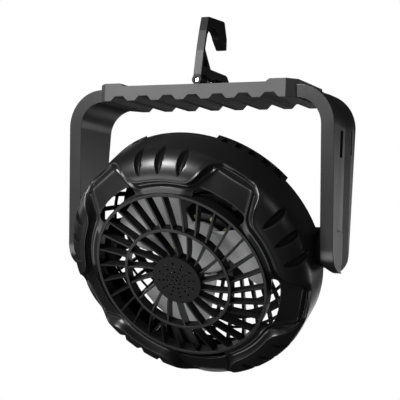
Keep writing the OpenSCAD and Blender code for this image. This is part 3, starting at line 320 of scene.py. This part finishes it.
# The head's frame: z forward along the fan's axis and x along the tilt axis, from where they cross
MM = 0.001
PIVOT_Z = -0.107965
TILT = math.radians(31.5)
HEAD = Matrix.Translation((0, 0, PIVOT_Z)) @ Matrix.Rotation(math.radians(90) + TILT, 4, "X")


def link(mesh):
    """An object of the mesh's name, in the scene."""
    piece = bpy.data.objects.new(mesh.name, mesh)
    bpy.context.collection.objects.link(piece)
    return piece


class Grow:
    """A Geometry Nodes tree with named inputs, which ends in plain mesh of one material."""

    def __init__(self, name, sizes):
        self.tree = bpy.data.node_groups.new(name, "GeometryNodeTree")
        face = self.tree.interface
        face.new_socket("Piece", in_out="INPUT", socket_type="NodeSocketGeometry")
        for size, value in sizes.items():
            kind = "NodeSocketInt" if isinstance(value, int) else "NodeSocketFloat"
            face.new_socket(size, in_out="INPUT", socket_type=kind).default_value = value
        face.new_socket("Finish", in_out="INPUT", socket_type="NodeSocketMaterial")
        face.new_socket("Piece", in_out="OUTPUT", socket_type="NodeSocketGeometry")
        self.start = self.tree.nodes.new("NodeGroupInput").outputs

    def node(self, kind, settings=None, values=None, output=0):
        made = self.tree.nodes.new(kind)
        for key, value in (settings or {}).items():
            setattr(made, key, value)
        for key, value in (values or {}).items():
            if isinstance(value, bpy.types.NodeSocket):
                self.tree.links.new(value, made.inputs[key])
            else:
                made.inputs[key].default_value = value
        return made.outputs[output]

    def end(self, grown):
        plain = self.node("GeometryNodeRealizeInstances", {}, {0: grown})
        finished = self.node("GeometryNodeSetMaterial", {}, {"Geometry": plain,
                             "Material": self.start["Finish"]})
        self.tree.links.new(finished, self.tree.nodes.new("NodeGroupOutput").inputs[0])
        return self.tree


def grown(name, mesh, tree, sizes, finish):
    """Runs a tree on a mesh in the head's frame. The result is a plain mesh in the part's frame."""
    seed = bpy.data.objects.new(name + "_seed", mesh)
    bpy.context.collection.objects.link(seed)
    run = seed.modifiers.new("grow", "NODES")
    run.node_group = tree
    sockets = {i.name: i.identifier for i in tree.interface.items_tree if i.in_out == "INPUT"}
    for size, value in {**sizes, "Finish": finish}.items():
        run[sockets[size]] = value
    bpy.context.view_layer.update()
    made = bpy.data.meshes.new_from_object(seed.evaluated_get(bpy.context.evaluated_depsgraph_get()))
    bpy.data.objects.remove(seed)
    made.transform(HEAD)
    made.name = name
    return link(made)


def ease(low, high, value):
    """Rises smoothly from 0 at low to 1 at high."""
    t = min(1.0, max(0.0, (value - low) / (high - low)))
    return t * t * (3 - 2 * t)


def shape(name, points, faces, finish=None, place=None, crease=50):
    """A mesh from points and faces, turned outwards, with sharp edges where it bends past an angle."""
    made = bmesh.new()
    corners = [made.verts.new(p) for p in points]
    for face in faces:
        made.faces.new([corners[i] for i in face])
    bmesh.ops.remove_doubles(made, verts=made.verts, dist=1e-7)
    bmesh.ops.recalc_face_normals(made, faces=made.faces)
    for face in made.faces:
        face.smooth = True
    for edge in made.edges:
        edge.smooth = edge.calc_face_angle(0) < math.radians(crease)
    mesh = bpy.data.meshes.new(name)
    made.to_mesh(mesh)
    made.free()
    if place:
        mesh.transform(place)
    if finish:
        mesh.materials.append(finish)
    return mesh


def turned(name, profile, steps, finish):
    """A lathe mesh about the fan's axis: profile is (radius, height) pairs in mm, from axis to axis."""
    points, faces = [], []
    n = len(profile)
    for k in range(steps):
        a = 2 * math.pi * k / steps
        points += [(r * math.cos(a) * MM, r * math.sin(a) * MM, z * MM) for r, z in profile]
        here, there = k * n, (k + 1) % steps * n
        faces += [[here + i, here + i + 1, there + i + 1, there + i] for i in range(n - 1)]
    return shape(name, points, faces, finish, HEAD)


# A unit drawn at its own radius, repeated about the fan's axis
ring = Grow("copies_round_axis", {"Copies": 3, "First Angle": 0.0})
spots = ring.node("GeometryNodePoints", {}, {"Count": ring.start["Copies"]})
share = ring.node("ShaderNodeMath", {"operation": "DIVIDE"}, {0: ring.node("GeometryNodeInputIndex"),
                  1: ring.start["Copies"]})
angle = ring.node("ShaderNodeMath", {"operation": "MULTIPLY_ADD"}, {0: share, 1: 2 * math.pi,
                  2: ring.start["First Angle"]})
facing = ring.node("ShaderNodeCombineXYZ", {}, {2: angle})
ring_of_units = ring.end(ring.node("GeometryNodeInstanceOnPoints", {}, {"Points": spots,
                         "Instance": ring.start["Piece"], "Rotation": facing}))


BLADES = 3
BLADE_HUB, BLADE_TIP = 21.5, 62.0
BLADE_HALF = 0.9
BLADE_ACROSS, BLADE_ALONG = 44, 24


def blade_mesh():
    """A twisted sheet with rounded edges: u runs from back edge to front, v from hub to tip."""
    points = []
    for side in (1, -1):
        for j in range(BLADE_ALONG + 1):
            v = j / BLADE_ALONG
            r = BLADE_HUB + (BLADE_TIP - BLADE_HUB) * v
            trail, lead = 97 - 5 * v, 181 - 44 * v + 12 * v * v
            low, high = 4 + 12 * ease(-0.1, 0.7, v), 8 + 20 * ease(-0.15, 0.55, v)
            for i in range(BLADE_ACROSS + 1):
                u = i / BLADE_ACROSS
                a = math.radians((1 - u) * trail + u * lead)
                thin_side = min(1, 0.3 + 0.35 * min(u, 1 - u) * BLADE_ACROSS)
                thin_tip = min(1, 0.3 + 0.35 * (1 - v) * BLADE_ALONG)
                z = low + (high - low) * u ** 1.15 + side * (BLADE_HALF * thin_side * thin_tip)
                points.append((r * math.cos(a) * MM, r * math.sin(a) * MM, z * MM))
    row = BLADE_ACROSS + 1
    sheet = row * (BLADE_ALONG + 1)
    faces = []
    for j in range(BLADE_ALONG):
        for a in range(j * row, j * row + BLADE_ACROSS):
            faces.append([a, a + 1, a + row + 1, a + row])
            faces.append([sheet + a + row, sheet + a + row + 1, sheet + a + 1, sheet + a])
    last = BLADE_ALONG * row
    path = list(range(BLADE_ACROSS)) + list(range(BLADE_ACROSS, last, row))
    path += list(range(last + BLADE_ACROSS, last, -1)) + list(range(last, 0, -row))
    for k, a in enumerate(path):
        b = path[(k + 1) % len(path)]
        faces.append([b, a, sheet + a, sheet + b])
    return shape("blade", points, faces)


blades = grown("fan_blades", blade_mesh(), ring_of_units, {"Copies": BLADES, "First Angle": 0.0},
               blade_plastic)
hub_profile = [(0, 5.0), (17, 5.0), (20.6, 4.9), (22.2, 4.5), (22.9, 3.7), (22.6, 3.2), (19.9, 3.2),
               (19.8, 2.8), (19.8, -10.7), (19.5, -11.0), (18.7, -11.0), (18.4, -10.7), (18.4, 2.9),
               (18.1, 3.2), (2.8, 3.2), (2.8, 0.3), (0, 0.3)]
rotor_hub = link(turned("rotor_hub", hub_profile, 96, blade_plastic))
for piece in (blades, rotor_hub):
    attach(piece, "rotor")
    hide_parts("rotor")


LIGHTS = 12
FIRST_LIGHT = math.radians(4)
LIGHT_RING = 25
PACKAGE = (1.6, 1.4, 0.8)  # half length, half width and height
WINDOW_TOP, WINDOW_FLOOR = 1.15, 1.0


def package_mesh():
    """A surface-mount light: a cream body with a bevelled top and a sunk round window."""
    half_x, half_y, high = PACKAGE
    sides = 20
    angles = [2 * math.pi * k / sides for k in range(sides)]
    turns = [(math.cos(a), math.sin(a)) for a in angles]
    body = [(c / max(abs(c) / half_x, abs(s) / half_y), s / max(abs(c) / half_x, abs(s) / half_y))
            for c, s in turns]
    levels = [(body, 0.0), (body, high - 0.1), ([(x * 0.95, y * 0.95) for x, y in body], high)]
    for r, z in ((WINDOW_TOP, high), (WINDOW_FLOOR, high - 0.3)):
        levels.append(([(r * c, r * s) for c, s in turns], z))
    points = [((LIGHT_RING + x) * MM, y * MM, z * MM) for line, z in levels for x, y in line]
    faces = [list(range(sides)), list(range(4 * sides, 5 * sides))]
    for level in range(4):
        for k in range(sides):
            a, b = level * sides + k, level * sides + (k + 1) % sides
            faces.append([a, b, b + sides, a + sides])
    return shape("light_package", points, faces)


lights = grown("ring_lights", package_mesh(), ring_of_units,
               {"Copies": LIGHTS, "First Angle": FIRST_LIGHT}, light_phosphor)
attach(lights, "head")
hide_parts("led_chips")


# ---------- Front shell ----------
# Five crowned pads with three dents each, five sunk windows with an air slot each, and one raised
# border that runs along the pads' inner edges and round the windows. Sizes are in mm, in the head's
# frame: r from the axis, z along it, and a the angle from a window's middle.

SECTOR = math.radians(72)
FIRST_WINDOW = math.radians(54)
WALL = 2.2
GRILLE_EDGE = 68.5
PARTING_Z = 6.0

# A pad's section: a straight side up to a rounded crown
RIM_R = 95.8
CROWN_R, CROWN_Z, CROWN_ROUND = 75.8, 27.0, 20.0

# Dents: along a pad's crown, in degrees of its bow, and side by side
DENT_MIDDLE, DENT_SPAN = 31, 37
DENT_APART = math.radians(11)
DENT_HALF, DENT_DEPTH = 3.2, 2.8

# Windows: half widths at two radii, then the slanting panel, the band inside it and the outer shoulder
WINDOW_IN = (72.7, 23.9)
WINDOW_OUT = (93.4, 17.8)
WINDOW_CORNER = 5.0
PANEL_R, PANEL_Z, PANEL_RISE = 90.3, 33.4, 0.5
BAND_R, BAND_Z, BAND_RISE = 72.3, 44.7, 0.342
SHOULDER_R, SHOULDER_Z, SHOULDER_DROP = 94.0, 31.5, 1.5
SOFTER_FROM, SOFTER_TO = 84, 93  # where the pads fall off to the windows more and more softly

# Air slot behind the grille's edge
SLOT_R = 76.0
SLOT_HALF = 20.0
SLOT_CORNER = 5.0

# The raised border between them: where it runs, its corner, its step, two lips and the groove between.
# The lips and the groove are given as distances outside the border, from where to where they rise and fall.
BORDER_R = 76.0
BORDER_FILLET = 6.0
BORDER_IN, BORDER_OUT = -4.2, 3.8
STEP_FROM, STEP_TO = -1.6, 2.7
LIPS = ((-4.2, -3.4, -3.4, -2.8), (1.8, 2.7, 2.7, 4.2))
LIP_HEIGHT = 0.35
GROOVE = (-3.3, -1.8, 0.2, 2.6)
GROOVE_DEPTH = 1.6

# The inside follows the front to this radius, then turns along the side over this width
INSIDE_TURN_R, INSIDE_TURN_WIDTH = 88, 7.8

# Half sleeves in which the pivot bosses are held
SLEEVE_OUT_R, SLEEVE_IN_R, SLEEVE_LOW = 15.7, 13.15, 6.1
SLEEVE_FROM, SLEEVE_TO = 77.8, 94.0


def swell(value, start, rise, fall, end):
    """Rises smoothly from start to rise, stays, and falls from fall to end."""
    return ease(start, rise, value) * (1 - ease(fall, end, value))


def window_side(x, y):
    """Distance outside a window's slanting side, for x outwards and y across."""
    lean = math.atan2(WINDOW_IN[1] - WINDOW_OUT[1], WINDOW_OUT[0] - WINDOW_IN[0])
    return (abs(y) - WINDOW_IN[1]) * math.cos(lean) + (x - WINDOW_IN[0]) * math.sin(lean)


def border(r, a):
    """Distance outside the star-shaped edge of the sunk area."""
    x, y = r * math.cos(a), r * math.sin(a)
    s = window_side(x, y) + WINDOW_CORNER
    t = x - WINDOW_OUT[0] + WINDOW_CORNER
    window = min(max(s, t), 0) + math.hypot(max(s, 0), max(t, 0)) - WINDOW_CORNER
    disc = r - BORDER_R
    meet = max(BORDER_FILLET - abs(window - disc), 0) / BORDER_FILLET
    return min(window, disc) - meet * meet * BORDER_FILLET / 4


def border_radius(a, distance):
    """The radius at which border() has a value, found by halving."""
    low, high = 60.0, 95.2
    for _ in range(22):
        middle = (low + high) / 2
        if border(middle, a) < distance:
            low = middle
        else:
            high = middle
    return low


def slot_edge(a):
    """Where the shell begins: at the grille's edge, or behind the air slot."""
    across = abs(a) * GRILLE_EDGE
    if across >= SLOT_HALF:
        return GRILLE_EDGE
    past = max(0.0, across - SLOT_HALF + SLOT_CORNER)
    return SLOT_R - SLOT_CORNER + math.sqrt(SLOT_CORNER ** 2 - past ** 2)


def dent_depth(a, r, bow):
    """Depth of a pad's dents, where a is from the pad's middle and bow is the angle round its crown."""
    q = (bow - DENT_MIDDLE) / DENT_SPAN
    if abs(q) >= 1:
        return 0.0
    half = DENT_HALF * (1 - abs(q) ** 2.4) ** 0.8
    across = min(abs(a + side * DENT_APART) for side in (-1, 0, 1)) * r
    if across >= half:
        return 0.0
    return DENT_DEPTH * (1 - q * q) ** 0.35 * (1 - (across / half) ** 2) ** 0.6


def front_height(a, r, crown, plain):
    """The front's height, and how much of it is the pad's crown. A plain front has no lips or groove."""
    side = window_side(r * math.cos(a), r * math.sin(a))
    gap = border(r, a)
    far = ease(SOFTER_FROM, SOFTER_TO, r)
    lift = ease(-2 - 7 * far, 6 * far + 0.1, side)
    past = min(1.0, max(0.0, r - SHOULDER_R) / (RIM_R - SHOULDER_R))
    shoulder = SHOULDER_Z - SHOULDER_DROP * (1 - math.sqrt(1 - past * past))
    high = shoulder + (crown - shoulder) * lift
    panel = PANEL_Z + (PANEL_R - r) * PANEL_RISE
    band = BAND_Z + (BAND_R - r) * BAND_RISE
    low = panel + (band - panel) * ease(-6, 3, side)
    z = low + (high - low) * ease(STEP_FROM, STEP_TO, gap)
    if not plain:
        z += LIP_HEIGHT * sum(swell(gap, *lip) for lip in LIPS) - GROOVE_DEPTH * swell(gap, *GROOVE)
    return z, lift


def shell_rows(a, plain):
    """Points (r, z) from the grille's edge over the front to the rim."""
    flats, grooves, bows, sides = 8, 26, 34, 14
    pad_a = SECTOR / 2 - abs(a)
    start = slot_edge(a)
    inner, outer = border_radius(a, BORDER_IN), border_radius(a, BORDER_OUT)
    line = []
    for r in ([start + (inner - start) * k / flats for k in range(flats)]
              + [inner + (outer - inner) * k / grooves for k in range(grooves)]):
        crown = CROWN_Z + math.sqrt(max(0, CROWN_ROUND ** 2 - max(0, r - CROWN_R) ** 2))
        line.append((r, front_height(a, r, crown, plain)[0]))
    last_bow = math.acos((outer - CROWN_R) / CROWN_ROUND)
    for bow in [last_bow * (1 - k / bows) for k in range(bows + 1)]:
        r = CROWN_R + CROWN_ROUND * math.cos(bow)
        z, lift = front_height(a, r, CROWN_Z + CROWN_ROUND * math.sin(bow), plain)
        sunk = dent_depth(pad_a, r, math.degrees(bow)) * lift
        line.append((r - sunk * math.cos(bow), z - sunk * math.sin(bow)))
    low_z = line[-1][1]
    for k in range(1, sides + 1):
        z = low_z + (PARTING_Z - low_z) * k / sides
        sunk = dent_depth(pad_a, RIM_R, math.degrees((z - CROWN_Z) / CROWN_ROUND))
        line.append((RIM_R - sunk, z))
    return line


def shell_turns():
    """Where one sector's sections are, in degrees: close together at the dents and the slot's ends."""
    fine, coarse = 0.2, 0.66
    slot_end = math.degrees(SLOT_HALF / GRILLE_EDGE)
    turns = []
    a = -36.0
    while a < 36 - 1e-6:
        turns.append(a)
        near_dent = min(abs(36 - abs(a)), abs(25 - abs(a))) < 2.4
        near_slot_end = abs(abs(a) - slot_end) < 1.2
        a += fine if near_dent or near_slot_end else coarse
    return turns


def shell_section(a):
    """A closed section of the shell: its outside, then back along its inside."""
    inside = []
    for r, z in reversed(shell_rows(a, True)[::3]):
        past = max(0.0, r - INSIDE_TURN_R) / INSIDE_TURN_WIDTH
        lean = math.pi / 2 * max(0.0, 1 - past)
        inside.append((min(r, RIM_R) - WALL * math.cos(lean), max(PARTING_Z, z - WALL * math.sin(lean))))
    inside[0] = (RIM_R - WALL, PARTING_Z)
    return shell_rows(a, False) + inside


def sleeve(side, first):
    """Points and faces of the half sleeve on one side, numbered from first."""
    steps = 24
    section = []
    for r, order in ((SLEEVE_OUT_R, 1), (SLEEVE_IN_R, -1)):
        start = math.asin(SLEEVE_LOW / r)
        arc = [start + (math.pi - 2 * start) * k / steps for k in range(steps + 1)][::order]
        section += [(r * math.cos(b), r * math.sin(b)) for b in arc]
    n = len(section)
    points = [(side * x * MM, y * MM, z * MM) for x in (SLEEVE_FROM, SLEEVE_TO) for y, z in section]
    faces = [[i, (i + 1) % n, n + (i + 1) % n, n + i] for i in range(n)]
    faces += [[end + i, end + i + 1, end + n - 2 - i, end + n - 1 - i]
              for end in (0, n) for i in range(steps)]
    return points, [[first + i for i in face] for face in faces]


def shell_mesh(finish):
    turns = shell_turns()
    sections = [shell_section(math.radians(a)) for a in turns]
    points, faces = [], []
    for sector in range(5):
        for a, section in zip(turns, sections):
            turn = FIRST_WINDOW + sector * SECTOR + math.radians(a)
            c, s = math.cos(turn), math.sin(turn)
            points += [(r * c * MM, r * s * MM, z * MM) for r, z in section]
    n, total = len(sections[0]), 5 * len(turns)
    for k in range(total):
        here, there = k * n, (k + 1) % total * n
        for i in range(n):
            j = (i + 1) % n
            faces.append([here + i, here + j, there + j, there + i])
    for side in (1, -1):
        more_points, more_faces = sleeve(side, len(points))
        points += more_points
        faces += more_faces
    return shape("front_cover", points, faces, finish, HEAD, 40)


def mark_dent_shade(mesh):
    """Gives the mesh a mask attribute which is 1 in the dents, where the shell's finish paints dark shade.
    """
    dent_shade = mesh.attributes.new("dent_shade", "FLOAT", "POINT")
    to_head = HEAD.inverted()
    for spot, mark in zip(mesh.vertices, dent_shade.data):
        x, y, z = to_head @ spot.co / MM
        r = math.hypot(x, y)
        from_pad = (math.atan2(y, x) - FIRST_WINDOW) % SECTOR - SECTOR / 2
        bow = math.atan2(z - CROWN_Z, r - CROWN_R)
        on_crown = CROWN_R + CROWN_ROUND * math.cos(bow)
        mark.value = min(1.0, dent_depth(from_pad, on_crown, math.degrees(bow)) / 1.2)


front_cover = link(shell_mesh(shell_plastic))
mark_dent_shade(front_cover.data)
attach(front_cover, "head")
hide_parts("front_shell")


# ---------- Camera, lights and floor ----------

TURN, TIP, ROLL = math.radians(25.64), math.radians(-3.35), math.radians(2.27)
DISTANCE = 0.9574
LENS_PIXELS = 1246.08
PICTURE_PIXELS = 400

target = Vector((-0.00527, 0, 0.03456 + PIVOT_Z))
back = Vector((math.sin(TURN) * math.cos(TIP), -math.cos(TURN) * math.cos(TIP), math.sin(TIP)))
right = Vector((math.cos(TURN), math.sin(TURN), 0))
up = back.cross(right)
right, up = (right * math.cos(ROLL) + up * math.sin(ROLL),
             up * math.cos(ROLL) - right * math.sin(ROLL))
view = Matrix((right, up, back)).transposed().to_4x4()

lens = bpy.data.cameras.new("camera")
lens.sensor_width = 36
lens.lens = LENS_PIXELS / PICTURE_PIXELS * 36
lens.clip_start = 0.05
lens.clip_end = 60
camera = bpy.data.objects.new("camera", lens)
bpy.context.collection.objects.link(camera)
camera.matrix_world = Matrix.Translation(target + back * DISTANCE) @ view
bpy.context.scene.camera = camera


def soft_lamp(name, place, aim, size, watts):
    """A square lamp that faces a point."""
    lamp = bpy.data.lights.new(name, "AREA")
    lamp.shape = "RECTANGLE"
    lamp.size = lamp.size_y = size
    lamp.energy = watts
    held = bpy.data.objects.new(name, lamp)
    bpy.context.collection.objects.link(held)
    place = Vector(place)
    aimed = (place - Vector(aim)).to_track_quat("Z", "Y").to_matrix().to_4x4()
    held.matrix_world = Matrix.Translation(place) @ aimed


middle = (0, 0, -0.07)
soft_lamp("top_lamp", (-0.1, -0.1, 0.75), middle, 0.4, 0.15)
soft_lamp("key_lamp", (-0.4, -0.85, 0.42), (0, 0, 0.05), 0.3, 22)
soft_lamp("low_lamp", (-0.52, -0.78, -0.74), middle, 0.8, 12)
soft_lamp("left_lamp", (-1.0, 0.1, 0.05), middle, 0.3, 0.6)
soft_lamp("right_lamp", (0.7, 0.84, -0.1), (0.06, 0, -0.06), 0.3, 1.5)
soft_lamp("side_lamp", (1.0, -0.1, 0.35), middle, 0.3, 0.8)
soft_lamp("under_lamp", (-0.1, 1.0, -0.3), middle, 0.3, 0.5)
soft_lamp("rear_lamp", (-0.75, 0.9, 0.35), middle, 0.6, 2)

# The sky is white to look at, dark in reflections, and fairly bright as soft light on dull surfaces
SEEN, MIRRORED, SOFT_SHARE = 1.0, 0.025, 0.75

sky = bpy.data.worlds.new("sky")
bpy.context.scene.world = sky
sky.use_nodes = True
air = sky.node_tree
ray = air.nodes.new("ShaderNodeLightPath").outputs
direct = air.nodes.new("ShaderNodeMath")
direct.operation = "MAXIMUM"
air.links.new(ray["Is Camera Ray"], direct.inputs[0])
air.links.new(ray["Is Transmission Ray"], direct.inputs[1])
level = air.nodes.new("ShaderNodeMapRange")
level.inputs["To Min"].default_value = MIRRORED
level.inputs["To Max"].default_value = SEEN
air.links.new(direct.outputs[0], level.inputs["Value"])
soft = air.nodes.new("ShaderNodeMath")
soft.operation = "MULTIPLY_ADD"
air.links.new(ray["Is Diffuse Ray"], soft.inputs[0])
soft.inputs[1].default_value = SOFT_SHARE
air.links.new(level.outputs[0], soft.inputs[2])
glow = air.nodes["Background"]
glow.inputs["Color"].default_value = (1, 1, 1, 1)
air.links.new(soft.outputs[0], glow.inputs["Strength"])
sky.cycles.sampling_method = "NONE"

# The floor is left out of reflections and soft light, so that it puts no haze on the dark plastic
floor_paint = Paint("floor_paint")
floor_paint.set(base_color=(0.82, 0.82, 0.81), roughness=0.8)
bpy.ops.mesh.primitive_circle_add(vertices=96, radius=4, fill_type="NGON", location=(0, 0, -0.9))
floor = bpy.context.object
floor.name = "floor"
floor.data.materials.append(floor_paint.material)
floor.visible_glossy = False
floor.visible_diffuse = False

bpy.context.scene.view_settings.view_transform = "Standard"
